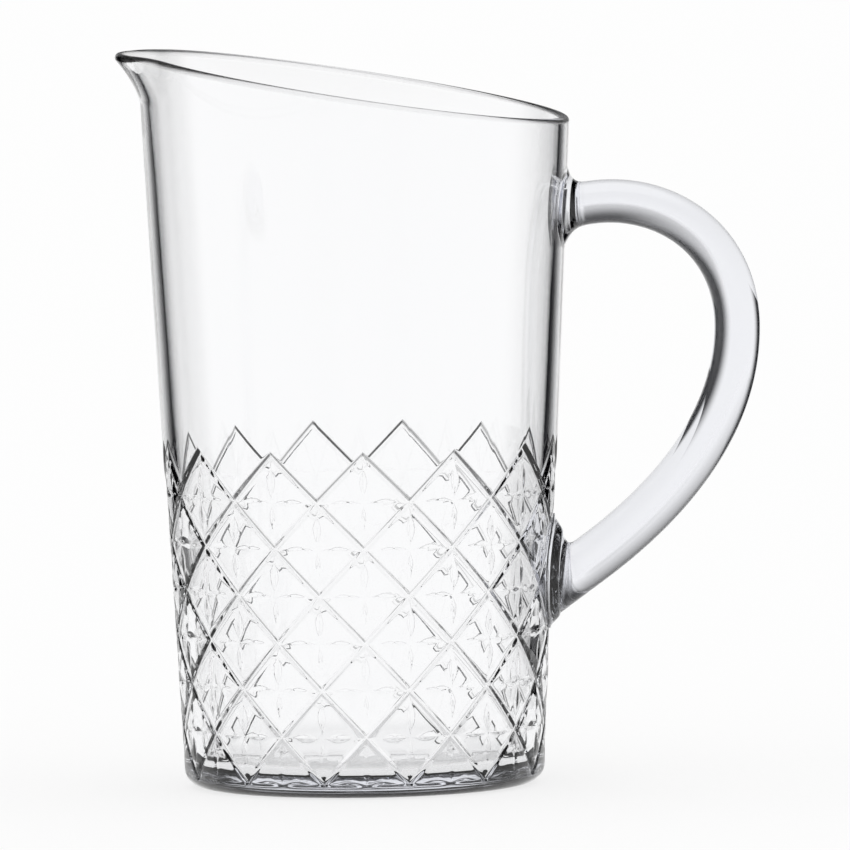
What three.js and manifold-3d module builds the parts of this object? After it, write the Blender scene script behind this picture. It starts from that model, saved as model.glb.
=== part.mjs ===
// Glass pouring jug: a tapered body cut with a lattice of pointed diamonds, a slanted rim drawn out
// into a pouring lip, and a loop handle applied to the wall opposite the lip.
// Millimetres, +Z up. The origin is the middle of the flat underside. The lip points to -X and the
// handle to +X.
import * as THREE from 'three';
import { mergeVertices } from 'three/addons/utils/BufferGeometryUtils.js';
import Module from 'manifold-3d';

const wasm = await Module();
wasm.setup();

// Wall, rim and floor of the body
const FOOT_RADIUS = 53.2; // outer radius of the wall, carried down to the table
const WALL_TAPER = 0.0504; // radius gained per millimetre of height
const RIM_HEIGHT = 206.9; // rim plane where it crosses the axis
const RIM_SLOPE = 0.1605; // fall of the rim plane towards the handle, per millimetre
const RIM_WALL = 2.8; // glass at the rim
const FOOT_WALL = 4.6; // glass at the foot of the wall
const FLOOR_THICKNESS = 6; // glass under the inside floor
const HEEL_ROUND = 6.5; // radius where the wall turns under
const FLOOR_ROUND = 7; // radius where the inside wall meets the floor

// Pouring lip
const LIP_REACH = 6.6; // how far the lip stands out beyond the wall
const LIP_WIDTH = 56; // stretch of the rim that is drawn out
const LIP_FLARE = 13.5; // height over which the wall turns outwards
const LIP_CURL = 1.6; // 1 is a straight flare, more turns out later and faster

// Cut lattice: diagonal grooves with a shallow four-sided point in each diamond between them
const DIAMONDS_AROUND = 13;
const HALF_ROWS = 7; // half diamonds from the lowest corners to the zigzag top
const DIAMOND_HEIGHT = 27.8;
const LATTICE_FOOT = 4.2; // height of the lowest corners, on the round of the heel
const FOOT_BAND = 0.6; // from the last plain ring of the heel up to the lowest corners
const TOP_BAND = 1.5; // from the highest corners to the first plain ring
const LATTICE_TURN = THREE.MathUtils.degToRad(-89.2); // where one column of crossings stands
const GROOVE_WIDTH = 2.2;
const GROOVE_DEPTH = 0.5; // groove floor below the diamonds' corners
const POINT_RISE = 0.5; // tip of a diamond above its corners

// Handle
const HANDLE_TOP = 169.5; // height of the upper root
const HANDLE_BOW = 134.5; // height where the loop stands out furthest
const HANDLE_FOOT = 57.8; // height of the lower root
const HANDLE_REACH = 51.7; // from the wall to the middle of the glass at the bow
const ARM_PULL = 23.9; // how far the upper arm runs out before it turns down
const ARM_RISE = 7.1; // rise of the upper arm over that run
const SHOULDER_PULL = 28.5; // how long the shoulder is above the bow
const BOW_PULL = 32; // how long the loop hangs below the bow
const LEG_RUN = 30.5; // run of the lower leg outwards from its root
const LEG_RISE = 18.7; // rise of the lower leg over that run
const ARM_THICKNESS = 12.7; // in the plane of the loop, at the upper root
const LEG_THICKNESS = 14.8; // the same at the lower root
const HANDLE_WIDTH = 15; // across the loop
const SECTION_SQUARENESS = 2.3; // 2 is an ellipse, more is fuller at the corners
const TOP_SPREAD = 3.4; // how far the upper root spreads on the wall, each way
const TOP_SPREAD_LENGTH = 6; // distance from the wall where it starts to spread
const SPREAD_CURVE = 4; // 1 is a straight cone, more hugs the wall
const PAD_HEIGHT = 34; // pad of glass that the lower root is pressed into
const PAD_WIDTH = 26;
const PAD_PROUD = 2.8; // how far the pad stands out of the wall
const PAD_DEPTH = 6; // how deep the middle of the pad's round lies in the wall
const PAD_LIFT = 4.5; // middle of the pad above the middle of the lower root
const ROOT_SINK = 9; // how far both ends run on into the wall before they are cut to it
const SEAT_GAP = 0.3; // clearance between the handle's roots and the wall

// Fineness of the facets
const COLUMNS = 84;
const HEEL_STEPS = 4;
const FLARE_STEPS = 6;
const EDGE_STEPS = 6;
const FLOOR_STEPS = 5;
const ZIGZAG_STEPS = 4;
const HANDLE_STEPS = 34;
const ROOT_STEPS = 5; // the first of those steps, at the upper root, is split again
const SECTION_POINTS = 20;
const SEAT_COLUMNS = 180;
const PAD_COLUMNS = 40;

const WELD = 1e-4; // points closer than this are one
const SAME_ANGLE = 1e-6; // angles closer than this are one
const SLOPE_STEP = 0.01; // stretch of wall over which its lean is measured
const FULL_TURN = 2 * Math.PI;
const QUARTER_TURN = Math.PI / 2;
const DIAMOND_ANGLE = FULL_TURN / DIAMONDS_AROUND;

const wallRadius = (z) => FOOT_RADIUS + WALL_TAPER * z;
const wallThickness = (z) => THREE.MathUtils.lerp(FOOT_WALL, RIM_WALL, z / RIM_HEIGHT);
const insideRadius = (z) => wallRadius(z) - wallThickness(z);

// Outside radius of the body: the tapered wall, turning under along the round of the heel.
function outsideRadius(z) {
  const drop = Math.max(0, HEEL_ROUND - z);
  return wallRadius(Math.max(z, HEEL_ROUND)) - HEEL_ROUND + Math.sqrt(HEEL_ROUND ** 2 - drop ** 2);
}

function glassMaterial() {
  return new THREE.MeshStandardMaterial({
    color: 0xe9eef0,
    roughness: 0.04,
    metalness: 0,
    transparent: true,
    opacity: 0.35,
  });
}

// Height at which the wall, at one angle, meets the slanted rim plane.
function rimHeight(angle) {
  const toHandle = Math.cos(angle);
  return (RIM_HEIGHT - RIM_SLOPE * FOOT_RADIUS * toHandle) / (1 + RIM_SLOPE * WALL_TAPER * toHandle);
}

// Height of the middle of the rounded rim edge.
function edgeHeight(angle) {
  return rimHeight(angle) - wallThickness(rimHeight(angle)) / 2;
}

// Outward shift of the wall where it is drawn out into the pouring lip: a raised cosine along the
// rim, fading below it.
function lipShift(angle, z) {
  const fromLip = Math.abs(THREE.MathUtils.euclideanModulo(angle, FULL_TURN) - Math.PI);
  const across = Math.min(1, (fromLip * wallRadius(RIM_HEIGHT)) / (LIP_WIDTH / 2));
  const climb = THREE.MathUtils.clamp(1 - (edgeHeight(angle) - z) / LIP_FLARE, 0, 1);
  return LIP_REACH * (0.5 + 0.5 * Math.cos(Math.PI * across)) * climb ** LIP_CURL;
}

// Point of the wall's upper section at one angle and height of its middle line, half the glass away
// from that line. A turn of 0 is the outside face and half a turn the inside face. Turns between them
// go round the rim's edge.
function wallSection(angle, z, turn) {
  const middle = (height) => wallRadius(height) - wallThickness(height) / 2 + lipShift(angle, height);
  const lean = Math.atan((middle(z) - middle(z - SLOPE_STEP)) / SLOPE_STEP);
  const half = wallThickness(z) / 2;
  return [middle(z) + half * Math.cos(turn - lean), z + half * Math.sin(turn - lean)];
}

// A point of a loop around the axis, kept with its angle.
function station(angle, radius, z) {
  return { angle, point: new THREE.Vector3(radius * Math.cos(angle), radius * Math.sin(angle), z) };
}

// A loop of evenly spaced points: course(angle) gives the radius and height there.
function ring(course) {
  return Array.from({ length: COLUMNS }, (_, column) => {
    const angle = (column * FULL_TURN) / COLUMNS;
    const [radius, z] = course(angle);
    return station(angle, radius, z);
  });
}

// The triangles of a closed surface, collected piece by piece.
class Facets {
  corners = [];

  triangle(a, b, c) {
    this.corners.push(...a.toArray(), ...b.toArray(), ...c.toArray());
  }

  quad(a, b, c, d) {
    this.triangle(a, b, c);
    this.triangle(a, c, d);
  }

  fan(centre, points) {
    points.forEach((point, i) => this.triangle(centre, point, points[(i + 1) % points.length]));
  }

  // Joins two closed loops, always stepping along the one that lags behind in angle.
  stitch(lower, upper) {
    const start = lower[0].angle;
    const fromStart = ({ angle, point }) => {
      const turn = THREE.MathUtils.euclideanModulo(angle - start, FULL_TURN);
      return { angle: FULL_TURN - turn < SAME_ANGLE ? 0 : turn, point };
    };
    const unroll = (loop) => {
      const once = loop.map(fromStart).sort((a, b) => a.angle - b.angle);
      return [...once, { angle: once[0].angle + FULL_TURN, point: once[0].point }];
    };
    const [low, high] = [unroll(lower), unroll(upper)];
    let [i, j] = [0, 0];
    while (i < low.length - 1 || j < high.length - 1) {
      const lowNext = low[i + 1]?.angle ?? Infinity;
      const highNext = high[j + 1]?.angle ?? Infinity;
      if (lowNext <= highNext) {
        this.triangle(low[i].point, low[i + 1].point, high[j].point);
        i += 1;
      } else {
        this.triangle(low[i].point, high[j + 1].point, high[j].point);
        j += 1;
      }
    }
  }

  geometry() {
    const loose = new THREE.BufferGeometry();
    loose.setAttribute('position', new THREE.Float32BufferAttribute(this.corners, 3));
    return mergeVertices(loose, WELD);
  }
}

// A place on the lattice, in diamonds around and half rows up from its lower edge, sunk by depth.
function latticeStation(column, halfRow, depth) {
  const z = LATTICE_FOOT + (halfRow * DIAMOND_HEIGHT) / 2;
  return station(LATTICE_TURN + column * DIAMOND_ANGLE, outsideRadius(z) - depth, z);
}

// How far a diamond's corners stand back from the crossing of two groove floors: in half rows for the
// corners above and below it, and in diamonds around for those beside it.
function cornerSetback(halfRow) {
  const halfWidth = (DIAMOND_ANGLE / 2) * wallRadius(LATTICE_FOOT + (halfRow * DIAMOND_HEIGHT) / 2);
  const halfHeight = DIAMOND_HEIGHT / 2;
  const up = ((GROOVE_WIDTH / 2) * Math.hypot(halfWidth, halfHeight)) / (halfWidth * halfHeight);
  return { up, aside: up / 2 };
}

// Adds the cut lattice and returns its two open edges: level at the foot, zigzag at the top.
function addLattice(facets) {
  const grooveFloor = (column, halfRow) => latticeStation(column, halfRow, POINT_RISE + GROOVE_DEPTH);
  const footEdge = [];
  const topEdge = [];

  for (let halfRow = 0; halfRow < HALF_ROWS; halfRow += 1) {
    const { up, aside } = cornerSetback(halfRow);
    for (let place = 0; place < DIAMONDS_AROUND; place += 1) {
      const column = place + (halfRow % 2) / 2;
      const tip = latticeStation(column, halfRow, 0);
      const left = latticeStation(column - 0.5 + aside, halfRow, POINT_RISE);
      const right = latticeStation(column + 0.5 - aside, halfRow, POINT_RISE);
      const top = latticeStation(column, halfRow + 1 - up, POINT_RISE);
      const leftFloor = grooveFloor(column - 0.5, halfRow);
      const rightFloor = grooveFloor(column + 0.5, halfRow);
      const topFloor = grooveFloor(column, halfRow + 1);

      facets.triangle(tip.point, right.point, top.point);
      facets.triangle(tip.point, top.point, left.point);
      facets.quad(rightFloor.point, topFloor.point, top.point, right.point);
      facets.quad(topFloor.point, leftFloor.point, left.point, top.point);

      if (halfRow === 0) {
        footEdge.push(leftFloor, left, tip, right);
      } else {
        const bottom = latticeStation(column, halfRow - 1 + up, POINT_RISE);
        const bottomFloor = grooveFloor(column, halfRow - 1);
        facets.triangle(tip.point, left.point, bottom.point);
        facets.triangle(tip.point, bottom.point, right.point);
        facets.quad(leftFloor.point, bottomFloor.point, bottom.point, left.point);
        facets.quad(bottomFloor.point, rightFloor.point, right.point, bottom.point);
      }

      if (halfRow === HALF_ROWS - 1) {
        const zigzag = (step) => {
          const share = step / ZIGZAG_STEPS;
          return latticeStation(column + share / 2, halfRow + 1 - Math.abs(share) + up, 0);
        };
        facets.triangle(leftFloor.point, topFloor.point, zigzag(0).point);
        facets.triangle(topFloor.point, rightFloor.point, zigzag(0).point);
        for (let step = 0; step < ZIGZAG_STEPS; step += 1) {
          facets.triangle(leftFloor.point, zigzag(-step).point, zigzag(-step - 1).point);
          facets.triangle(rightFloor.point, zigzag(step + 1).point, zigzag(step).point);
          topEdge.push(zigzag(-step - 1), zigzag(step));
        }
      }
    }
  }
  return { footEdge, topEdge };
}

// The body: its surface runs from the underside round the heel, up the cut lattice and the plain wall,
// over the rounded rim, down the inside and across the floor.
function bodyGeometry() {
  const facets = new Facets();
  const steps = (count) => Array.from({ length: count }, (_, i) => (i + 1) / count);

  const heelTurn = Math.acos(Math.max(0, 1 - (LATTICE_FOOT - FOOT_BAND) / HEEL_ROUND));
  const heel = [0, ...steps(HEEL_STEPS)].map((share) => {
    const z = HEEL_ROUND * (1 - Math.cos(share * heelTurn));
    return ring(() => [outsideRadius(z), z]);
  });

  const { footEdge, topEdge } = addLattice(facets);
  const latticeTop = Math.max(...topEdge.map(({ point }) => point.z));
  const wallFoot = ring(() => [wallRadius(latticeTop + TOP_BAND), latticeTop + TOP_BAND]);

  const flareHeight = (angle, share) => edgeHeight(angle) - LIP_FLARE * (1 - share);
  const face = (share, turn) => ring((angle) => wallSection(angle, flareHeight(angle, share), turn));
  const climb = [0, ...steps(FLARE_STEPS)];
  const outside = climb.map((share) => face(share, 0));
  const rim = steps(EDGE_STEPS).map((share) => face(1, share * Math.PI));
  const inside = climb.reverse().slice(1).map((share) => face(share, Math.PI));

  const cornerHeight = FLOOR_THICKNESS + FLOOR_ROUND;
  const cornerCentre = insideRadius(cornerHeight) - FLOOR_ROUND;
  const corner = [0, ...steps(FLOOR_STEPS)].map((share) => {
    const turn = share * QUARTER_TURN;
    const radius = cornerCentre + FLOOR_ROUND * Math.cos(turn);
    return ring(() => [radius, cornerHeight - FLOOR_ROUND * Math.sin(turn)]);
  });

  const join = (loops) => loops.slice(1).forEach((loop, i) => facets.stitch(loops[i], loop));
  const points = (loop) => loop.map(({ point }) => point);
  facets.fan(new THREE.Vector3(0, 0, 0), points(heel[0]).reverse());
  join([...heel, footEdge]);
  join([topEdge, wallFoot, ...outside, ...rim, ...inside, ...corner]);
  facets.fan(new THREE.Vector3(0, 0, FLOOR_THICKNESS), points(corner.at(-1)));
  return facets.geometry();
}

// Middle line of the handle: out from the upper root, round the bow, and in along the leg.
function handleLine() {
  const onWall = (z, standoff) => new THREE.Vector3(wallRadius(z) + standoff, 0, z);
  const top = onWall(HANDLE_TOP, 0);
  const bow = onWall(HANDLE_BOW, HANDLE_REACH);
  const foot = onWall(HANDLE_FOOT, 0);
  const moved = (from, x, z) => from.clone().add(new THREE.Vector3(x, 0, z));
  const line = new THREE.CurvePath();
  const [arm, shoulder] = [moved(top, ARM_PULL, ARM_RISE), moved(bow, 0, SHOULDER_PULL)];
  const [underBow, leg] = [moved(bow, 0, -BOW_PULL), moved(foot, LEG_RUN, LEG_RISE)];
  line.add(new THREE.CubicBezierCurve3(top, arm, shoulder, bow));
  line.add(new THREE.CubicBezierCurve3(bow, underBow, leg, foot));
  return line;
}

// One oval section of the handle, spread where the upper root nears the wall.
function handleSection(centre, tangent, share) {
  const standoff = Math.max(0, centre.x - wallRadius(centre.z));
  const near = centre.z > HANDLE_BOW ? Math.max(0, 1 - standoff / TOP_SPREAD_LENGTH) : 0;
  const spread = TOP_SPREAD * near ** SPREAD_CURVE;
  const halfThickness = THREE.MathUtils.lerp(ARM_THICKNESS, LEG_THICKNESS, share) / 2 + spread;
  const halfWidth = HANDLE_WIDTH / 2 + spread;
  const outward = new THREE.Vector3(-tangent.z, 0, tangent.x);
  const across = new THREE.Vector3(0, 1, 0);
  const bulge = (value) => Math.sign(value) * Math.abs(value) ** (2 / SECTION_SQUARENESS);
  return Array.from({ length: SECTION_POINTS }, (_, i) => {
    const turn = (i * FULL_TURN) / SECTION_POINTS;
    return centre
      .clone()
      .addScaledVector(outward, halfThickness * bulge(Math.cos(turn)))
      .addScaledVector(across, halfWidth * bulge(Math.sin(turn)));
  });
}

// The handle before its roots are cut to the wall: sections lofted along the middle line, with each
// end carried on straight into the body.
function handleLoft() {
  const line = handleLine();
  const rootShares = Array.from({ length: ROOT_STEPS }, (_, i) => i / ROOT_STEPS / HANDLE_STEPS);
  const restShares = Array.from({ length: HANDLE_STEPS }, (_, i) => (i + 1) / HANDLE_STEPS);
  const shares = [...rootShares, ...restShares];
  const places = shares.map((share) => ({
    share,
    centre: line.getPointAt(share),
    tangent: line.getTangentAt(share),
  }));
  const sunk = (place, way) => ({
    ...place,
    centre: place.centre.clone().addScaledVector(place.tangent, way * ROOT_SINK),
  });
  const all = [sunk(places[0], -1), ...places, sunk(places.at(-1), 1)];
  const sections = all.map(({ centre, tangent, share }) => handleSection(centre, tangent, share));

  const facets = new Facets();
  sections.slice(1).forEach((section, i) => {
    const before = sections[i];
    section.forEach((point, k) => {
      const next = (k + 1) % SECTION_POINTS;
      facets.quad(before[next], before[k], point, section[next]);
    });
  });
  facets.fan(all[0].centre, sections[0]);
  facets.fan(all.at(-1).centre, [...sections.at(-1)].reverse());
  return facets.geometry();
}

// The pad under the lower root: a flattened round, sunk into the wall so that its edge is PAD_HEIGHT
// by PAD_WIDTH where it comes out.
function footPad() {
  const bulge = PAD_DEPTH + PAD_PROUD;
  const edgeShare = Math.sqrt(1 - (PAD_DEPTH / bulge) ** 2);
  const middle = HANDLE_FOOT + PAD_LIFT;
  const pad = new THREE.SphereGeometry(1, PAD_COLUMNS, PAD_COLUMNS / 2)
    .scale(bulge, PAD_WIDTH / 2 / edgeShare, PAD_HEIGHT / 2 / edgeShare)
    .translate(wallRadius(middle) - PAD_DEPTH, 0, middle);
  return positionsOnly(pad);
}

// A solid cone that follows the body's wall, larger by the seat clearance, to cut the roots with.
function wallSeat() {
  const [low, high] = [0, RIM_HEIGHT];
  const edge = (z) => new THREE.Vector2(wallRadius(z) + SEAT_GAP, z);
  const profile = [new THREE.Vector2(0, low), edge(low), edge(high), new THREE.Vector2(0, high)];
  return positionsOnly(new THREE.LatheGeometry(profile, SEAT_COLUMNS).rotateX(QUARTER_TURN));
}

function positionsOnly(geometry) {
  geometry.deleteAttribute('normal');
  geometry.deleteAttribute('uv');
  return mergeVertices(geometry, WELD);
}

function toSolid(geometry) {
  return new wasm.Manifold(
    new wasm.Mesh({
      numProp: 3,
      vertProperties: new Float32Array(geometry.attributes.position.array),
      triVerts: new Uint32Array(geometry.index.array),
    }),
  );
}

function toGeometry(solid) {
  const mesh = solid.getMesh();
  const geometry = new THREE.BufferGeometry();
  geometry.setAttribute('position', new THREE.BufferAttribute(mesh.vertProperties, 3));
  geometry.setIndex(new THREE.BufferAttribute(mesh.triVerts, 1));
  return geometry;
}

function handleGeometry() {
  return toGeometry(toSolid(handleLoft()).add(toSolid(footPad())).subtract(toSolid(wallSeat())));
}

function piece(name, geometry) {
  const mesh = new THREE.Mesh(geometry, glassMaterial());
  mesh.name = name;
  mesh.geometry.computeVertexNormals();
  return mesh;
}

const jug = new THREE.Group();
jug.add(piece('glass_body', bodyGeometry()));
jug.add(piece('handle', handleGeometry()));

export default jug;
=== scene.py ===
"""Dresses the glass jug: a cut lattice body with a lipped, slanted rim, and a loop handle."""

import math
from typing import NamedTuple

import bmesh
import bpy
import numpy as np
from bpy.props import FloatProperty, FloatVectorProperty, IntProperty, PointerProperty
from mathutils import Matrix, Vector


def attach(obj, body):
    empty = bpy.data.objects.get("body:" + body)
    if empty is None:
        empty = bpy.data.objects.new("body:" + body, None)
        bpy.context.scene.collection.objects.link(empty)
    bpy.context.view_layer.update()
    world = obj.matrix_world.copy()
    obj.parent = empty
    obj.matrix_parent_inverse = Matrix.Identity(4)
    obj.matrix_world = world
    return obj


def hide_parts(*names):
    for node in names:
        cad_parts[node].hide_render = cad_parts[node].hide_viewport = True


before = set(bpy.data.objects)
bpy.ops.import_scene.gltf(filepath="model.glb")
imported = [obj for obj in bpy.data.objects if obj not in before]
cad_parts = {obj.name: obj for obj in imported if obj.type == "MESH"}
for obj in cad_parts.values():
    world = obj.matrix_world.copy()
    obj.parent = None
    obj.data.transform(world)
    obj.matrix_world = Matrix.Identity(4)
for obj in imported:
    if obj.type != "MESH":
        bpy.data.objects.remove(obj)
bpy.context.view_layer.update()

bl_info = {
    "name": "Cut glass jug",
    "version": (1, 0, 0),
    "blender": (4, 5, 0),
    "location": "View3D > Sidebar > Jug",
    "description": "Builds the visible surfaces, glass and studio of a cut glass pouring jug",
    "category": "Object",
}

MM = 0.001

# Grid of the body
HEEL_ROWS = 17
WALL_ROWS = 13
FLARE_ROWS = 13
RIM_ROWS = 25
INSIDE_ROWS = 19
BEND_ROWS = 10
DISC_RINGS = np.linspace(0.85, 0, 6)[:, None]  # rings of a flat floor, as shares of its radius
BANK_STEPS = np.array([0, 0.2, 0.4, 0.6, 0.8, 1.0, 1.3])[:, None]  # rows up from a groove, in groove widths
ALONG_CROWD = 1.7  # 1 is even, more crowds the grid at the ridges of a diamond
HEEL_FADE = 0.2  # turn of the heel over which the grooves fade out, in radians
ROUND_LEAN = 0.5  # lean of the lip at which its edge is fully round, in radians

# Grid of the handle
LINE_POINTS = 400
LOOP_ROWS = 240
SECTION_POINTS = 64
ROOT_ROWS = 15
ROOT_CROWD = 1.6  # 1 is even, more crowds the rows of a root at the wall
PAD_ROWS = 17
CAP_RINGS = np.array([1, 0.97, 0.75, 0.5, 0.25, 0])[:, None]  # rings of a closed end, as shares of its edge
SLIDE_STEPS = 6

# Joint of handle and wall
JOINT_INSET = 0.2 * MM  # edge of the upper joint inside the edge of the root
JOINT_DEPTH = 1.5 * MM  # how far below the plain wall the cut surface still belongs to the joint
SINK_SHARE = 0.9  # share of the pad's sink from which its end lies inside the wall

# Reflections inside the handle after which trapped light runs straight on
FOLLOWED_BOUNCES = 2.5

# Scale of the unevenness of the glass, in waves per metre
BODY_WAVES = 22.0
HANDLE_WAVES = 40.0

# Studio, in metres
FLOOR_HALF = 6.0
FLOOR_DROP = 0.2 * MM  # keeps the floor and the underside out of one plane
FLOOR_WHITE = 0.75  # share of plain white in the floor as it is seen
CEILING_RADIUS = 1.5
CEILING_RISE = (0.14, 0.92)  # heights between which the ceiling thickens
CEILING_OPENING = (1.38, 1.15)  # heights between which its open top closes
CEILING_RINGS = 17
CEILING_POINTS = 64
CLOTH_POINTS = 24


class Cloth(NamedTuple):
    """Dark studio cloth, part of an upright cylinder: the angles in degrees between which it fades in and
    out, the heights between which it fades in, its top and its cover."""

    radius: float
    angles: tuple
    rise: tuple
    top: float
    cover: float


CLOTHS = {
    "dark_right": Cloth(0.45, (18, 37, 53, 69), (-0.1, 0.0), 0.5, 1.0),
    "dark_low_right": Cloth(0.27, (-5, 5, 36, 46), (-0.1, 0.0), 0.07, 1.0),
    "dark_left": Cloth(0.6, (108, 128, 134, 168), (-0.1, 0.0), 0.5, 1.0),
    "dark_behind": Cloth(1.4, (62, 78, 91, 97), (0.08, 0.2), 0.8, 0.28),
    "dark_above": Cloth(1.35, (76, 86, 95, 101), (0.2, 0.8), 1.2, 0.85),
}


def length(name, description, default):
    """A size in metres, from a default in millimetres."""
    return FloatProperty(name=name, description=description, default=default * MM, unit="LENGTH", precision=5)


class JugBodySettings(bpy.types.PropertyGroup):
    """Sizes of the glass body."""

    foot_radius: length("Foot radius", "Outer radius of the wall, carried down to the table", 53.2)
    taper: FloatProperty(name="Taper", description="Radius gained per unit of height", default=0.0504)
    rim_height: length("Rim height", "Rim plane where it crosses the axis", 206.9)
    rim_slope: FloatProperty(name="Rim slope", description="Fall towards the handle", default=0.1605)
    rim_wall: length("Rim wall", "Glass at the rim", 2.8)
    rim_outside: FloatProperty(name="Rim outside", description="2 is round, more is squarer", default=2.1)
    rim_inside: FloatProperty(name="Rim inside", description="2 is round, more is squarer", default=4.0)
    rim_edge: length("Rim edge", "Height of the inner round of the rim", 0.6)
    rim_soft: length("Rim soft", "How far down from the rim its softer polish reaches", 2.0)
    foot_wall: length("Foot wall", "Glass at the foot of the wall", 4.6)
    floor: length("Floor", "Glass under the inside floor", 6.0)
    heel_round: length("Heel round", "Radius where the wall turns under", 6.5)
    floor_round: length("Floor round", "Radius where the inside wall meets the floor", 7.0)
    lip_reach: length("Lip reach", "How far the lip stands out beyond the wall", 6.6)
    lip_width: length("Lip width", "Stretch of the rim that is drawn out", 56.0)
    lip_flare: length("Lip flare", "Height over which the wall turns outwards", 13.5)
    lip_curl: FloatProperty(name="Lip curl", description="1 is straight, more turns out later", default=1.6)


class JugLatticeSettings(bpy.types.PropertyGroup):
    """Sizes of the cut lattice."""

    around: IntProperty(name="Around", description="Diamonds around the body", default=13)
    half_rows: IntProperty(name="Half rows", description="Half diamonds from the foot to the top", default=7)
    height: length("Height", "Height of one diamond", 27.8)
    foot: length("Foot", "Height of the lowest corners, on the round of the heel", 4.2)
    turn: FloatProperty(
        name="Turn",
        description="Where one column of crossings stands",
        default=math.radians(-89.2),
        subtype="ANGLE",
    )
    groove_width: length("Groove width", "Width of a groove", 2.2)
    groove_depth: length("Groove depth", "Groove floor below the corners of the diamonds", 0.5)
    point_rise: length("Point rise", "Tip of a diamond above its corners", 0.5)
    star_start: FloatProperty(name="Star start", description="Start of a ridge cut", default=0.08)
    star_end: FloatProperty(name="Star end", description="End of a ridge cut, of tip to corner", default=0.66)
    star_width: length("Star width", "Widest part of a ridge cut", 2.0)
    star_depth: length("Star depth", "Deepest part of a ridge cut", 0.25)
    steps_out: IntProperty(name="Steps out", description="Grid steps from the tip to the groove", default=10)
    steps_groove: IntProperty(name="Groove steps", description="Grid steps down a groove's bank", default=6)
    steps_along: IntProperty(name="Steps along", description="Grid steps along a diamond's side", default=10)


class JugHandleSettings(bpy.types.PropertyGroup):
    """Sizes of the handle."""

    top: length("Top", "Height of the upper root", 169.5)
    bow: length("Bow", "Height where the loop stands out furthest", 134.5)
    foot: length("Foot", "Height of the lower root", 57.8)
    reach: length("Reach", "From the wall to the middle of the glass at the bow", 51.7)
    arm_pull: length("Arm pull", "How far the arm runs out before it turns down", 23.9)
    arm_rise: length("Arm rise", "Rise of the arm over that run", 7.1)
    shoulder_pull: length("Shoulder pull", "How long the shoulder is above the bow", 28.5)
    bow_pull: length("Bow pull", "How long the loop hangs below the bow", 32.0)
    leg_run: length("Leg run", "Run of the lower leg outwards from its root", 30.5)
    leg_rise: length("Leg rise", "Rise of the lower leg over that run", 18.7)
    arm_thickness: length("Arm thickness", "In the plane of the loop, at the upper root", 12.7)
    leg_thickness: length("Leg thickness", "In the plane of the loop, at the lower root", 14.8)
    width: length("Width", "Across the loop", 15.0)
    squareness: FloatProperty(name="Squareness", description="2 is an ellipse, more is fuller", default=2.3)
    top_spread: length("Top spread", "How far the upper root spreads on the wall", 5.2)
    foot_spread: length("Foot spread", "How far the top of the lower root spreads on its pad", 5.0)
    spread_curve: FloatProperty(name="Spread curve", description="1 is straight, more hugs", default=4.0)
    top_length: length("Top length", "Where the upper root starts to spread, from the wall", 7.5)
    foot_length: length("Foot length", "Where the lower root starts to spread, from the wall", 11.6)
    pad_height: length("Pad height", "Height of the pad that the lower root is pressed into", 34.0)
    pad_width: length("Pad width", "Width of that pad", 26.0)
    pad_proud: length("Pad proud", "How far the pad stands out of the wall", 2.8)
    pad_lift: length("Pad lift", "Middle of the pad above the middle of the lower root", 4.5)
    top_sink: length("Top sink", "How far the upper root reaches into the wall", 0.02)
    pad_sink: length("Pad sink", "How far the pad reaches into the cut wall", 1.3)


class JugGlassSettings(bpy.types.PropertyGroup):
    """Finish of the glass."""

    colour: FloatVectorProperty(
        name="Colour",
        description="Tint of the glass at its surface",
        size=3,
        subtype="COLOR",
        default=(0.996, 0.997, 0.999),
        min=0,
        max=1,
    )
    depth_colour: FloatVectorProperty(
        name="Depth colour",
        description="Tint that thick glass takes on",
        size=3,
        subtype="COLOR",
        default=(0.70, 0.72, 0.80),
        min=0,
        max=1,
    )
    body_density: FloatProperty(name="Body density", description="How fast the wall takes it on", default=8.0)
    handle_density: FloatProperty(
        name="Handle density", description="How fast the thick handle takes it on", default=28.0
    )
    ior: FloatProperty(name="IOR", description="Refraction of the glass", default=1.5)
    rim_roughness: FloatProperty(name="Rim roughness", description="Softness of its polish", default=0.32)
    waviness: length("Waviness", "Height of the soft unevenness of the pressed surface", 0.05)


class JugStageSettings(bpy.types.PropertyGroup):
    """Camera, floor and light."""

    view_width: length("View width", "Width of the picture at the jug", 250.75)
    view_distance: length("View distance", "From the camera to the jug", 10000.0)
    aim_x: length("Aim X", "Point in the middle of the picture", 19.26)
    aim_z: length("Aim Z", "Point in the middle of the picture", 105.9)
    elevation: FloatProperty(
        name="Elevation", description="Camera above the level", default=math.radians(4.6), subtype="ANGLE"
    )
    roll: FloatProperty(
        name="Roll", description="Lean of the jug in the picture", default=math.radians(0.82), subtype="ANGLE"
    )


def make_piece(name, points, faces, material, node):
    """A smooth mesh piece from arrays, welded where its patches meet, that stands for a CAD node."""
    mesh = bpy.data.meshes.new(name)
    mesh.from_pydata(points.tolist(), [], faces)
    work = bmesh.new()
    work.from_mesh(mesh)
    bmesh.ops.remove_doubles(work, verts=work.verts, dist=1e-6)
    bmesh.ops.dissolve_degenerate(work, edges=work.edges, dist=1e-8)
    bmesh.ops.recalc_face_normals(work, faces=work.faces)
    work.to_mesh(mesh)
    work.free()
    mesh.polygons.foreach_set("use_smooth", np.ones(len(mesh.polygons), bool))
    mesh.materials.append(material)
    mesh.update()
    piece = bpy.data.objects.new(name, mesh)
    bpy.context.scene.collection.objects.link(piece)
    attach(piece, "root")
    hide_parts(node)
    return piece


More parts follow.
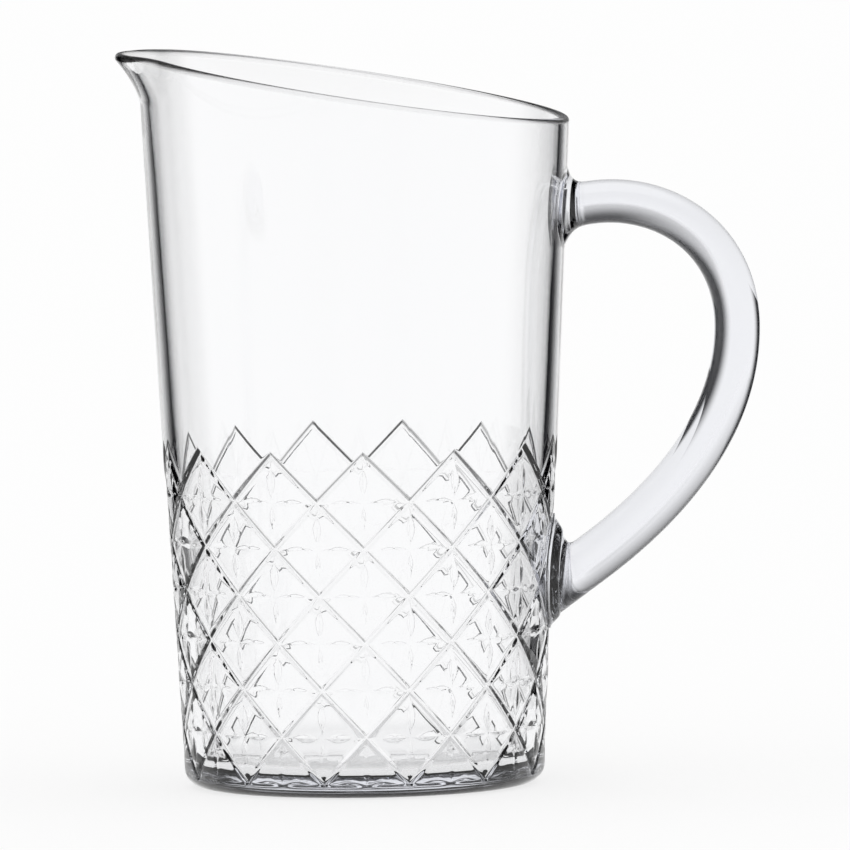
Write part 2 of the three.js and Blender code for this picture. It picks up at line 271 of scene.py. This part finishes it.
def grid_faces(rows, columns, closed=True):
    """Quads of a grid of points numbered row by row, closed around its columns or open."""
    row = np.arange(rows - 1)[:, None]
    column = np.arange(columns if closed else columns - 1)[None, :]
    after = (column + 1) % columns
    near, far = row * columns, (row + 1) * columns
    corners = [near + column, near + after, far + after, far + column]
    return np.stack(corners, -1).reshape(-1, 4).tolist()


class Surface:
    """Points and faces collected patch by patch."""

    def __init__(self):
        self.points = []
        self.faces = []
        self.count = 0

    def add(self, points, faces):
        """A patch whose faces are numbered from its own first point."""
        points = points.reshape(-1, 3)
        self.points.append(points)
        self.faces.extend([[i + self.count for i in face] for face in faces])
        self.count += len(points)

    def add_rows(self, rows):
        """A grid of closed rows, one above the other."""
        rows = np.asarray(rows)
        self.add(rows, grid_faces(rows.shape[0], rows.shape[1]))

    def array(self):
        """All points in one array."""
        return np.concatenate(self.points)


def later_rows(end, count):
    """Evenly stepped values after 0, up to an end, as a column."""
    return np.linspace(0, end, count)[1:, None]


def signed_power(value, power):
    """The size of a value raised to a power, with the sign of the value."""
    return np.sign(value) * np.abs(value) ** power


def around_axis(angle, radius, z):
    """Points at an angle about the Z axis, at a radius and a height."""
    angle, radius, z = np.broadcast_arrays(angle, radius, z)
    return np.stack([radius * np.cos(angle), radius * np.sin(angle), z], -1)


def wall_radius(body, z):
    """Outer radius of the plain wall: a cone that widens upwards."""
    return body.foot_radius + body.taper * z


def outside_radius(body, z):
    """Outside of the body: the tapering wall, turning under along a quarter circle at the heel."""
    drop = np.maximum(0, body.heel_round - z)
    centre = wall_radius(body, np.maximum(z, body.heel_round)) - body.heel_round
    return centre + np.sqrt(body.heel_round**2 - drop**2)


def wall_thickness(body, z):
    """Glass of the wall, which thins evenly from the foot to the rim."""
    return body.foot_wall + (body.rim_wall - body.foot_wall) * z / body.rim_height


def edge_height(body, angle):
    """Middle of the rounded rim edge: the rim plane met by the tapering wall, half the glass lower."""
    to_handle = np.cos(angle)
    rim = (body.rim_height - body.rim_slope * body.foot_radius * to_handle) / (
        1 + body.rim_slope * body.taper * to_handle
    )
    return rim - wall_thickness(body, rim) / 2


def wall_middle(body, angle, z):
    """Middle line of the glass: the tapering wall, plus the lip, which is a raised cosine along the rim that
    fades below the edge with a power curve."""
    from_lip = np.abs(np.mod(angle, 2 * np.pi) - np.pi)
    across = np.minimum(1, from_lip * wall_radius(body, body.rim_height) / (body.lip_width / 2))
    climb = np.clip(1 - (edge_height(body, angle) - z) / body.lip_flare, 0, 1)
    shift = body.lip_reach * (0.5 + 0.5 * np.cos(np.pi * across)) * climb**body.lip_curl
    return wall_radius(body, z) - wall_thickness(body, z) / 2 + shift


def wall_lean(body, angle, z):
    """Lean of the middle line from upright, by its rise over a short step."""
    step = 0.01 * MM
    return np.arctan((wall_middle(body, angle, z) - wall_middle(body, angle, z - step)) / step)


def wall_frame(body, angle, z, across, rise):
    """A point given from the middle line: outwards across the glass, and upwards along it."""
    lean = wall_lean(body, angle, z)
    radius = wall_middle(body, angle, z) + across * np.cos(lean) + rise * np.sin(lean)
    return around_axis(angle, radius, z - across * np.sin(lean) + rise * np.cos(lean))


def rim_section(body, angle, turn):
    """Rounded edge of the rim, from a turn of 0 outside to half a turn inside: a quarter of a superellipse
    outside, and a lower and squarer one inside. Where the lip leans out both become quarter circles."""
    z = edge_height(body, angle)
    half = wall_thickness(body, z) / 2
    upright = np.clip(1 - wall_lean(body, angle, z) / ROUND_LEAN, 0, 1)
    outer = np.cos(turn) > 0
    power = 2 + (np.where(outer, body.rim_outside, body.rim_inside) - 2) * upright
    fall = half + (np.where(outer, half, body.rim_edge) - half) * upright
    across = half * signed_power(np.cos(turn), 2 / power)
    return wall_frame(body, angle, z, across, half - fall + fall * np.abs(np.sin(turn)) ** (2 / power))


def groove_bank(share):
    """Groove section: 1 at its floor, 0 at its edge, level at both."""
    return (1 - np.clip(share, 0, 1) ** 2) ** 2


def facet_knots(lattice, body):
    """Steps out from the tip of a diamond to its side, close together on the bank of the groove, and steps
    along that side, close together at both ridges. All run from 0 to 1."""
    middle = lattice.half_rows * lattice.height / 4
    bank = 1 - lattice.groove_width / 2 / tip_to_side(lattice, body, middle)
    out = np.linspace(0, bank, lattice.steps_out, endpoint=False)
    out = np.concatenate([out, np.linspace(bank, 1, lattice.steps_groove + 1)])
    lower = 0.5 * np.linspace(0, 1, lattice.steps_along // 2 + 1) ** ALONG_CROWD
    return out, np.concatenate([lower, 1 - lower[-2::-1]])


def half_width(lattice, body, z):
    """Half the width of a diamond, measured round the wall."""
    return np.pi / lattice.around * wall_radius(body, z)


def tip_to_side(lattice, body, z):
    """Distance from the tip of a diamond to each of its sides."""
    width, height = half_width(lattice, body, z), lattice.height / 2
    return width * height / np.hypot(width, height)


def lattice_place(lattice, across, up, rank, column):
    """Angle and height of a point of one diamond, given from its tip as shares of its half width and half
    height."""
    turn = column - rank / 2 + across / 2 + 1
    z = lattice.foot + (rank + up) * lattice.height / 2
    return np.broadcast_arrays(lattice.turn + turn * 2 * np.pi / lattice.around, z)


def star_cut(lattice, along, beside):
    """Depth of one arm of the star on a diamond: a cut along a ridge, whose depth and width both follow a
    parabola from its start to its end."""
    middle, half = (lattice.star_start + lattice.star_end) / 2, (lattice.star_end - lattice.star_start) / 2
    swell = np.clip(1 - ((along - middle) / half) ** 2, 0, 1)
    reach = np.maximum(swell * lattice.star_width / 2, 1e-9)  # never 0, so that the share stays finite
    return lattice.star_depth * swell * groove_bank(beside / reach)


def lattice_relief(lattice, body, across, up, z):
    """Height of the cut surface against the plain wall: each diamond falls evenly from its tip to its four
    sides, the rounded grooves sink below its sides, and four small cuts lie along its ridges."""
    near = tip_to_side(lattice, body, z) * (1 - np.abs(across) - np.abs(up))
    groove = lattice.groove_width / 2
    climb = np.clip((near - groove) / (tip_to_side(lattice, body, z) - groove), 0, 1)
    level = np.abs(across) * half_width(lattice, body, z)
    upright = np.abs(up) * lattice.height / 2
    star = np.maximum(star_cut(lattice, np.abs(across), upright), star_cut(lattice, np.abs(up), level))
    return -lattice.point_rise * (1 - climb) - lattice.groove_depth * groove_bank(near / groove) - star


def add_lattice(surface, body, lattice):
    """The cut zone: four facets per diamond, each a grid that runs out from the tip and along one side. The
    lowest diamonds keep their upper two facets. Returns the angles, heights and relief of the foot edge, and
    the angles and heights of the zigzag top edge."""
    out, along = facet_knots(lattice, body)
    corners = np.array([(1, 0), (0, 1), (-1, 0), (0, -1)])
    quads = grid_faces(len(out), len(along), closed=False)
    for rank in range(lattice.half_rows):
        for column in range(lattice.around):
            for facet in range(4 if rank else 2):
                side = corners[facet] + (corners[(facet + 1) % 4] - corners[facet]) * along[:, None]
                across, up = np.moveaxis(out[:, None, None] * side, -1, 0)
                angle, z = lattice_place(lattice, across, up, rank, column)
                relief = lattice_relief(lattice, body, across, up, z)
                surface.add(around_axis(angle, outside_radius(body, z) + relief, z), quads)
    columns = np.arange(lattice.around)[:, None]
    across = np.concatenate([-out[::-1], out[1:-1]])
    foot_angle, foot_z = lattice_place(lattice, across, 0.0, 0, columns)
    foot_relief = lattice_relief(lattice, body, across, 0.0, foot_z)
    across = np.concatenate([along, 1 + along[1:-1]]) - 1
    top_angle, top_z = lattice_place(lattice, across, 1 - np.abs(across), lattice.half_rows - 1, columns)
    return (foot_angle.ravel(), foot_z.ravel(), foot_relief.ravel()), (top_angle.ravel(), top_z.ravel())


def add_heel(surface, body, foot):
    """Below the lattice: the wall turns under in the rest of the quarter circle, on which the grooves fade
    out, then the flat underside."""
    angle, z, relief = foot
    start = np.arccos(1 - z.min() / body.heel_round)
    turn = np.linspace(start, 0, HEEL_ROWS)[:, None]
    level = body.heel_round * (1 - np.cos(turn))
    left = np.clip(1 - (start - turn) / HEEL_FADE, 0, 1) ** 2
    rows = list(around_axis(angle, outside_radius(body, level) + relief * left, level))
    rows.extend(around_axis(angle, outside_radius(body, 0.0) * DISC_RINGS, 0.0))
    surface.add_rows(rows)


def add_wall(surface, body, lattice, top):
    """Above the lattice: the upper bank of the last grooves, the plain wall, the rim and the inside down to
    the floor."""
    angle, zigzag = top
    tilt = tip_to_side(lattice, body, zigzag) / (lattice.height / 2)
    depth = lattice.point_rise + lattice.groove_depth
    offset = BANK_STEPS * lattice.groove_width
    bank = -depth * groove_bank(offset * tilt / (lattice.groove_width / 2))
    rows = list(around_axis(angle, wall_radius(body, zigzag + offset) + bank, zigzag + offset))
    start, end = zigzag + offset[-1], edge_height(body, angle) - body.lip_flare
    level = start + (end - start) * later_rows(1, WALL_ROWS)
    rows.extend(around_axis(angle, wall_radius(body, level), level))
    level = end + body.lip_flare * later_rows(1, FLARE_ROWS)
    rows.extend(wall_frame(body, angle, level, wall_thickness(body, level) / 2, 0.0))
    rows.extend(rim_section(body, angle, later_rows(np.pi, RIM_ROWS)))
    level = level[::-1]
    rows.extend(wall_frame(body, angle, level, -wall_thickness(body, level) / 2, 0.0))
    corner = body.floor + body.floor_round
    inside = wall_radius(body, corner) - wall_thickness(body, corner)
    level = end + (corner - end) * later_rows(1, INSIDE_ROWS)
    rows.extend(around_axis(angle, wall_radius(body, level) - wall_thickness(body, level), level))
    turn = later_rows(np.pi / 2, BEND_ROWS)
    flat = inside - body.floor_round
    bend = flat + body.floor_round * np.cos(turn)
    rows.extend(around_axis(angle, bend, corner - body.floor_round * np.sin(turn)))
    rows.extend(around_axis(angle, flat * DISC_RINGS, body.floor))
    surface.add_rows(rows)


def bezier(points, share):
    """A cubic curve through the first and last of four points, drawn towards the two between."""
    a, b, c, d = (np.asarray(p)[None, :] for p in points)
    s = share[:, None]
    return (1 - s) ** 3 * a + 3 * s * (1 - s) ** 2 * b + 3 * s**2 * (1 - s) * c + s**3 * d


def loop_point(body, z, out):
    """A point in the plane of the loop, at a height and a distance outside the wall, as X and Z."""
    return np.array([wall_radius(body, z) + out, z])


def handle_line(body, handle, steps):
    """Middle line in the plane of the loop, evenly stepped, with its direction and the share of its length:
    out from the upper root, round the bow, and in along the leg."""
    top = loop_point(body, handle.top, 0)
    bow = loop_point(body, handle.bow, handle.reach)
    foot = loop_point(body, handle.foot, 0)
    arm = [top, top + [handle.arm_pull, handle.arm_rise], bow + [0, handle.shoulder_pull], bow]
    leg = [bow, bow - [0, handle.bow_pull], foot + [handle.leg_run, handle.leg_rise], foot]
    fine = np.linspace(0, 1, LINE_POINTS)
    line = np.concatenate([bezier(arm, fine), bezier(leg, fine)[1:]])
    run = np.concatenate([[0], np.cumsum(np.linalg.norm(np.diff(line, axis=0), axis=1))])
    share = np.linspace(0, 1, steps)
    even = np.stack([np.interp(share * run[-1], run, line[:, k]) for k in (0, 1)], -1)
    direction = np.gradient(even, axis=0)
    return even, direction / np.linalg.norm(direction, axis=1)[:, None], share


def handle_outline(handle, points):
    """A rounded section of unit half sizes: a superellipse, as its two coordinates."""
    turn = np.linspace(0, 2 * np.pi, points, endpoint=False)
    power = 2 / handle.squareness
    return signed_power(np.cos(turn), power), signed_power(np.sin(turn), power)


def wall_at(body, y, z, out):
    """X of the point that lies a distance outside the wall, at a Y and a height."""
    return np.sqrt((wall_radius(body, z) + out) ** 2 - y**2)


def slide_to_wall(body, points, way, out):
    """Points moved along a direction of the loop's plane until they lie a distance outside the wall, in steps
    that are each the remaining gap over the rate at which it closes."""
    for _ in range(SLIDE_STEPS):
        radius = np.hypot(points[:, 0], points[:, 1])
        gap = radius - wall_radius(body, points[:, 2]) - out
        closing = points[:, 0] / radius * way[0] - body.taper * way[1]
        points = points - (gap / closing)[:, None] * np.array([way[0], 0, way[1]])
    return points


def root_rows(body, section, way, out, spread, curve):
    """Rows from a section of the handle, straight along its direction, to its outline a distance outside the
    wall, where they spread along the wall by a power of the way gone."""
    edge = slide_to_wall(body, section, way, out)
    gone = (1 - np.linspace(1, 0, ROOT_ROWS)[1:] ** ROOT_CROWD)[:, None]
    away = (edge - edge.mean(0))[:, 1:]
    away = away / np.linalg.norm(away, axis=1)[:, None] * spread[:, None]
    y = section[:, 1] + (edge[:, 1] - section[:, 1]) * gone + away[:, 0] * gone**curve
    z = section[:, 2] + (edge[:, 2] - section[:, 2]) * gone + away[:, 1] * gone**curve
    hug = wall_at(body, y, z, out) - wall_at(body, edge[:, 1], edge[:, 2], out)
    return np.stack([section[:, 0] + (edge[:, 0] - section[:, 0]) * gone + hug * gone**curve, y, z], -1)


def handle_rows(body, handle):
    """Closed rows of the handle: the upper root, sections carried along the middle line, the lower root and
    its pad, which falls to the wall as half a cosine wave."""
    line, direction, share = handle_line(body, handle, LOOP_ROWS)
    out, across = handle_outline(handle, SECTION_POINTS)
    thick = (handle.arm_thickness + (handle.leg_thickness - handle.arm_thickness) * share)[:, None] / 2
    x = line[:, :1] - direction[:, 1:] * thick * out
    z = line[:, 1:] + direction[:, :1] * thick * out
    rows = np.stack([x, np.broadcast_to(handle.width / 2 * across, x.shape), z], -1)
    standoff = line[:, 0] - wall_radius(body, line[:, 1])
    upper = line[:, 1] > handle.bow
    keep = np.flatnonzero(standoff > np.where(upper, handle.top_length, handle.foot_length))
    rows, direction = rows[keep], direction[keep]
    even = np.full(len(out), handle.top_spread)
    top = root_rows(body, rows[0], direction[0], 0.0, even, handle.spread_curve)
    above = handle.foot_spread * (0.5 - 0.5 * out)
    foot = root_rows(body, rows[-1], direction[-1], handle.pad_proud, above, handle.spread_curve)
    up, side = (signed_power(value, handle.squareness / 2) for value in (out, across))
    middle = handle.foot + handle.pad_lift
    down = later_rows(1, PAD_ROWS)
    y = foot[-1, :, 1] + (handle.pad_width / 2 * side - foot[-1, :, 1]) * down
    z = foot[-1, :, 2] + (middle - handle.pad_height / 2 * up - foot[-1, :, 2]) * down
    proud = handle.pad_proud * (0.5 + 0.5 * np.cos(np.pi * down))
    pad = np.stack([wall_at(body, y, z, proud), y, z], -1)
    return np.concatenate([top[::-1], rows, foot, pad])


def root_cap(body, edge, sink):
    """Rows that close an end of the handle inside the wall, shrinking to the middle of its edge."""
    y, z = (edge[:, k].mean() + (edge[:, k] - edge[:, k].mean()) * CAP_RINGS for k in (1, 2))
    return np.stack([wall_at(body, y, z, -sink), y, z], -1)


def add_handle(surface, body, handle):
    """The handle, with its two ends carried into the wall and closed along it."""
    rows = handle_rows(body, handle)
    top = root_cap(body, rows[0], handle.top_sink)
    foot = root_cap(body, rows[-1], handle.pad_sink)
    surface.add_rows(np.concatenate([top[::-1], rows, foot]))


def maths(tree, operation, *values):
    """The output of a math node fed with sockets or numbers."""
    node = tree.nodes.new("ShaderNodeMath")
    node.operation = operation
    for socket, value in zip(node.inputs, values):
        if isinstance(value, bpy.types.NodeSocket):
            tree.links.new(value, socket)
        else:
            socket.default_value = value
    return node.outputs[0]


def ramp(tree, value, start, end, curve):
    """From 0 to 1 as a socket's value goes from one number to the other, evenly or level at both ends."""
    node = tree.nodes.new("ShaderNodeMapRange")
    node.interpolation_type = curve
    node.inputs["From Min"].default_value = start
    node.inputs["From Max"].default_value = end
    tree.links.new(value, node.inputs["Value"])
    return node.outputs["Result"]


def wall_places(tree, body):
    """Object coordinates as sockets, and how far a place lies outside the plain wall."""
    place = tree.nodes.new("ShaderNodeTexCoord")
    split = tree.nodes.new("ShaderNodeSeparateXYZ")
    tree.links.new(place.outputs["Object"], split.inputs[0])
    x, y, z = (split.outputs[axis] for axis in "XYZ")
    squares = maths(tree, "ADD", maths(tree, "MULTIPLY", x, x), maths(tree, "MULTIPLY", y, y))
    radius = maths(tree, "SQRT", squares)
    wall = maths(tree, "MULTIPLY_ADD", z, body.taper, body.foot_radius)
    return x, y, z, maths(tree, "SUBTRACT", radius, wall)


def oval(tree, y, z, middle, halves, power):
    """1 inside a superellipse on the wall."""
    across = maths(tree, "POWER", maths(tree, "ABSOLUTE", maths(tree, "DIVIDE", y, halves[0])), power)
    offset = maths(tree, "DIVIDE", maths(tree, "SUBTRACT", z, middle), halves[1])
    up = maths(tree, "POWER", maths(tree, "ABSOLUTE", offset), power)
    return maths(tree, "LESS_THAN", maths(tree, "ADD", across, up), 1.0)


def body_joint(tree, body, handle):
    """1 where the outside of the wall lies under a root of the handle."""
    x, y, z, outside = wall_places(tree, body)
    spread = handle.top_spread - JOINT_INSET
    tilt = math.atan2(handle.arm_rise, handle.arm_pull)
    root = (handle.width / 2 + spread, handle.arm_thickness / 2 / math.cos(tilt) + spread)
    top = oval(tree, y, z, handle.top, root, handle.squareness)
    pad = oval(tree, y, z, handle.foot + handle.pad_lift, (handle.pad_width / 2, handle.pad_height / 2), 2.0)
    handle_side = maths(tree, "GREATER_THAN", x, 0.0)
    outer_face = maths(tree, "GREATER_THAN", outside, -JOINT_DEPTH)
    face = maths(tree, "MULTIPLY", handle_side, outer_face)
    return maths(tree, "MULTIPLY", maths(tree, "MAXIMUM", top, pad), face)


def handle_joint(tree, body, handle):
    """1 where the handle's ends lie inside the wall."""
    _, _, z, outside = wall_places(tree, body)
    upper = maths(tree, "GREATER_THAN", z, handle.bow)
    pad_depth = SINK_SHARE * handle.pad_sink
    depth = maths(tree, "MULTIPLY_ADD", upper, pad_depth - handle.top_sink / 2, -pad_depth)
    return maths(tree, "LESS_THAN", outside, depth)


def glass_material(name, glass, density, waves):
    """Clear pressed glass: refraction, a faint tint in thick places and a soft unevenness of the surface."""
    material = bpy.data.materials.new(name)
    material.use_nodes = True
    nodes, links = material.node_tree.nodes, material.node_tree.links
    shader = nodes["Principled BSDF"]
    shader.inputs["Base Color"].default_value = (*glass.colour, 1)
    shader.inputs["Transmission Weight"].default_value = 1.0
    shader.inputs["IOR"].default_value = glass.ior
    shader.inputs["Roughness"].default_value = 0.0
    place = nodes.new("ShaderNodeTexCoord")
    noise = nodes.new("ShaderNodeTexNoise")
    noise.inputs["Scale"].default_value = waves
    noise.inputs["Detail"].default_value = 1.5
    bump = nodes.new("ShaderNodeBump")
    bump.inputs["Strength"].default_value = 1.0
    bump.inputs["Distance"].default_value = glass.waviness
    links.new(place.outputs["Object"], noise.inputs["Vector"])
    links.new(noise.outputs["Fac"], bump.inputs["Height"])
    links.new(bump.outputs["Normal"], shader.inputs["Normal"])
    depth = nodes.new("ShaderNodeVolumeAbsorption")
    depth.inputs["Color"].default_value = (*glass.depth_colour, 1)
    depth.inputs["Density"].default_value = density
    links.new(depth.outputs["Volume"], nodes["Material Output"].inputs["Volume"])
    return material


def often_reflected(tree):
    """1 for light that has been thrown back so often inside the glass that it wouldn't be followed further."""
    path = tree.nodes.new("ShaderNodeLightPath")
    return maths(tree, "GREATER_THAN", path.outputs["Glossy Depth"], FOLLOWED_BOUNCES)


def fuse(material, joint):
    """Lets the glass run on unbroken where the joint's socket is 1, as in a joint made hot."""
    nodes, links = material.node_tree.nodes, material.node_tree.links
    through = nodes.new("ShaderNodeBsdfTransparent")
    mix = nodes.new("ShaderNodeMixShader")
    links.new(joint, mix.inputs["Fac"])
    links.new(nodes["Principled BSDF"].outputs[0], mix.inputs[1])
    links.new(through.outputs[0], mix.inputs[2])
    links.new(mix.outputs[0], nodes["Material Output"].inputs["Surface"])


def soften_rim(material, body, glass):
    """Softer polish on the rim: the roughness rises over a short way below the slanted rim plane."""
    tree = material.node_tree
    x, _, z, _ = wall_places(tree, body)
    level = maths(tree, "MULTIPLY_ADD", x, body.rim_slope, z)
    start, end = body.rim_height - body.rim_soft, body.rim_height - body.rim_soft / 2
    near = ramp(tree, level, start, end, "SMOOTHSTEP")
    roughness = maths(tree, "MULTIPLY", near, glass.rim_roughness)
    tree.links.new(roughness, tree.nodes["Principled BSDF"].inputs["Roughness"])


class JUG_OT_body(bpy.types.Operator):
    """Builds the glass body with its cut lattice, rim and lip"""

    bl_idname = "jug.body"
    bl_label = "Glass body"

    def execute(self, context):
        scene = context.scene
        surface = Surface()
        foot, top = add_lattice(surface, scene.jug_body, scene.jug_lattice)
        add_heel(surface, scene.jug_body, foot)
        add_wall(surface, scene.jug_body, scene.jug_lattice, top)
        glass = scene.jug_glass
        material = glass_material("clear_glass_body", glass, glass.body_density, BODY_WAVES)
        soften_rim(material, scene.jug_body, glass)
        fuse(material, body_joint(material.node_tree, scene.jug_body, scene.jug_handle))
        make_piece("cut_glass_body", surface.array(), surface.faces, material, "glass_body")
        return {"FINISHED"}


class JUG_OT_handle(bpy.types.Operator):
    """Builds the loop handle with its two roots"""

    bl_idname = "jug.handle"
    bl_label = "Handle"

    def execute(self, context):
        scene = context.scene
        surface = Surface()
        add_handle(surface, scene.jug_body, scene.jug_handle)
        glass = scene.jug_glass
        material = glass_material("clear_glass_handle", glass, glass.handle_density, HANDLE_WAVES)
        tree = material.node_tree
        joint = handle_joint(tree, scene.jug_body, scene.jug_handle)
        fuse(material, maths(tree, "MAXIMUM", joint, often_reflected(tree)))
        make_piece("loop_handle", surface.array(), surface.faces, material, "handle")
        return {"FINISHED"}


def stage_surface(name, rows, material, closed=False):
    """A surface of the studio, from a grid of points."""
    rows = np.asarray(rows)
    mesh = bpy.data.meshes.new(name)
    faces = grid_faces(rows.shape[0], rows.shape[1], closed=closed)
    mesh.from_pydata(rows.reshape(-1, 3).tolist(), [], faces)
    mesh.polygons.foreach_set("use_smooth", np.ones(len(mesh.polygons), bool))
    mesh.materials.append(material)
    sheet = bpy.data.objects.new(name, mesh)
    bpy.context.scene.collection.objects.link(sheet)
    return sheet


def seen_background(tree):
    """1 for rays that show the background: straight from the camera, off gloss or through glass."""
    path = tree.nodes.new("ShaderNodeLightPath")
    direct = maths(tree, "MAXIMUM", path.outputs["Is Camera Ray"], path.outputs["Is Glossy Ray"])
    return maths(tree, "MAXIMUM", direct, path.outputs["Is Transmission Ray"])


def floor_material():
    """Pale floor: mostly white to the eye, with enough of its lit surface left to keep a soft shadow."""
    material = bpy.data.materials.new("pale_floor")
    material.use_nodes = True
    nodes, links = material.node_tree.nodes, material.node_tree.links
    lit = nodes["Principled BSDF"]
    lit.inputs["Base Color"].default_value = (0.95, 0.95, 0.95, 1)
    lit.inputs["Roughness"].default_value = 0.9
    lit.inputs["Specular IOR Level"].default_value = 0.0
    white = nodes.new("ShaderNodeEmission")
    white.inputs["Strength"].default_value = 1.0
    mix = nodes.new("ShaderNodeMixShader")
    seen = seen_background(material.node_tree)
    links.new(maths(material.node_tree, "MULTIPLY", seen, FLOOR_WHITE), mix.inputs["Fac"])
    links.new(lit.outputs[0], mix.inputs[1])
    links.new(white.outputs[0], mix.inputs[2])
    links.new(mix.outputs[0], nodes["Material Output"].inputs["Surface"])
    return material


def dark_material(name):
    """Black studio cloth, with the sockets that give its place as X, Y and Z, and the socket for its cover,
    from 0 for none to 1 for full."""
    material = bpy.data.materials.new(name)
    material.use_nodes = True
    nodes, links = material.node_tree.nodes, material.node_tree.links
    shader = nodes["Principled BSDF"]
    shader.inputs["Base Color"].default_value = (0.01, 0.01, 0.012, 1)
    shader.inputs["Roughness"].default_value = 1.0
    shader.inputs["Specular IOR Level"].default_value = 0.0
    place = nodes.new("ShaderNodeTexCoord")
    split = nodes.new("ShaderNodeSeparateXYZ")
    links.new(place.outputs["Object"], split.inputs[0])
    return material, split.outputs, shader.inputs["Alpha"]


def ceiling_material():
    """Cloth over the studio, which thickens evenly upwards and is open at the top."""
    material, place, cover = dark_material("dark_ceiling")
    tree = material.node_tree
    share = ramp(tree, place["Z"], *CEILING_RISE, "LINEAR")
    closed = ramp(tree, place["Z"], *CEILING_OPENING, "SMOOTHSTEP")
    tree.links.new(maths(tree, "MULTIPLY", share, closed), cover)
    return material


def side_material(name, cloth):
    """Cloth beside the studio, which fades in between the first two angles about Z and out between the last
    two, and fades in upwards."""
    material, place, cover = dark_material(name)
    tree = material.node_tree
    angle = maths(tree, "ARCTAN2", place["Y"], place["X"])
    clear_before, dark_from, dark_to, clear_after = (math.radians(a) for a in cloth.angles)
    begun = ramp(tree, angle, clear_before, dark_from, "SMOOTHSTEP")
    not_ended = ramp(tree, angle, clear_after, dark_to, "SMOOTHSTEP")
    rise = maths(tree, "MULTIPLY", ramp(tree, place["Z"], *cloth.rise, "SMOOTHSTEP"), cloth.cover)
    tree.links.new(maths(tree, "MULTIPLY", maths(tree, "MULTIPLY", begun, not_ended), rise), cover)
    return material


def studio_world(scene):
    """White surroundings, at full white where they are seen and as the soft light of the room."""
    world = bpy.data.worlds.new("studio")
    world.use_nodes = True
    scene.world = world
    nodes, links = world.node_tree.nodes, world.node_tree.links
    light = nodes["Background"]
    light.inputs["Color"].default_value = (1, 1, 1, 1)
    light.inputs["Strength"].default_value = 1.0
    seen = nodes.new("ShaderNodeBackground")
    seen.inputs["Color"].default_value = (1, 1, 1, 1)
    seen.inputs["Strength"].default_value = 1.0
    mix = nodes.new("ShaderNodeMixShader")
    links.new(seen_background(world.node_tree), mix.inputs["Fac"])
    links.new(light.outputs[0], mix.inputs[1])
    links.new(seen.outputs[0], mix.inputs[2])
    links.new(mix.outputs[0], nodes["World Output"].inputs["Surface"])


def only_in_glass(sheet):
    """Dark cloth is seen only in and through the glass, as the dark edges that shape clear glass."""
    sheet.visible_camera = False
    sheet.visible_diffuse = False
    sheet.visible_shadow = False


def add_ceiling():
    """Dark half dome over the jug: rings of a sphere from the floor to the top."""
    around = np.linspace(0, 2 * np.pi, CEILING_POINTS, endpoint=False)
    rise = np.linspace(0, np.pi / 2, CEILING_RINGS)[:, None]
    rows = around_axis(around, CEILING_RADIUS * np.cos(rise), CEILING_RADIUS * np.sin(rise))
    only_in_glass(stage_surface("dark_ceiling", rows, ceiling_material(), closed=True))


def add_side(name, cloth):
    """Dark cloth beside the jug: part of an upright cylinder."""
    around = np.radians(np.linspace(cloth.angles[0], cloth.angles[-1], CLOTH_POINTS))
    rows = around_axis(around, cloth.radius, np.array([0, cloth.top])[:, None])
    only_in_glass(stage_surface(name, rows, side_material(name, cloth)))


def place_camera(scene, stage):
    """A long lens at the photograph's height and lean, far enough away to flatten the view as it does."""
    data = bpy.data.cameras.new("camera")
    data.sensor_width = 36.0
    data.lens = data.sensor_width * stage.view_distance / stage.view_width
    data.clip_start, data.clip_end = 0.1, 100.0
    camera = bpy.data.objects.new("camera", data)
    scene.collection.objects.link(camera)
    back = Vector((0, -math.cos(stage.elevation), math.sin(stage.elevation)))
    level = Vector((1, 0, 0))
    rise = back.cross(level)
    right = level * math.cos(stage.roll) - rise * math.sin(stage.roll)
    up = level * math.sin(stage.roll) + rise * math.cos(stage.roll)
    camera.matrix_world = Matrix((right, up, back)).transposed().to_4x4()
    camera.location = Vector((stage.aim_x, 0, stage.aim_z)) + back * stage.view_distance
    scene.camera = camera


class JUG_OT_stage(bpy.types.Operator):
    """Builds the camera, the pale floor and the soft light of the studio"""

    bl_idname = "jug.stage"
    bl_label = "Stage"

    def execute(self, context):
        scene = context.scene
        scene.view_settings.view_transform = "Standard"
        place_camera(scene, scene.jug_stage)
        studio_world(scene)
        ends = (-FLOOR_HALF, FLOOR_HALF)
        floor = [[(x, y, -FLOOR_DROP) for x in ends] for y in ends]
        stage_surface("floor", floor, floor_material())
        add_ceiling()
        for name, cloth in CLOTHS.items():
            add_side(name, cloth)
        return {"FINISHED"}


class JUG_PT_panel(bpy.types.Panel):
    """Lists the steps of the jug."""

    bl_label = "Cut glass jug"
    bl_idname = "JUG_PT_panel"
    bl_space_type = "VIEW_3D"
    bl_region_type = "UI"
    bl_category = "Jug"

    def draw(self, context):
        for step in (JUG_OT_body, JUG_OT_handle, JUG_OT_stage):
            self.layout.operator(step.bl_idname)


SETTINGS = {
    "jug_body": JugBodySettings,
    "jug_lattice": JugLatticeSettings,
    "jug_handle": JugHandleSettings,
    "jug_glass": JugGlassSettings,
    "jug_stage": JugStageSettings,
}
CLASSES = (*SETTINGS.values(), JUG_OT_body, JUG_OT_handle, JUG_OT_stage, JUG_PT_panel)


def register():
    """Makes the settings, operators and panel known."""
    for cls in CLASSES:
        bpy.utils.register_class(cls)
    for name, settings in SETTINGS.items():
        setattr(bpy.types.Scene, name, PointerProperty(type=settings))


def unregister():
    """Takes them away again."""
    for name in SETTINGS:
        delattr(bpy.types.Scene, name)
    for cls in reversed(CLASSES):
        bpy.utils.unregister_class(cls)


def main():
    """Builds the jug and its stage."""
    register()
    bpy.ops.jug.stage()
    bpy.ops.jug.body()
    bpy.ops.jug.handle()


if __name__ == "__main__":
    main()
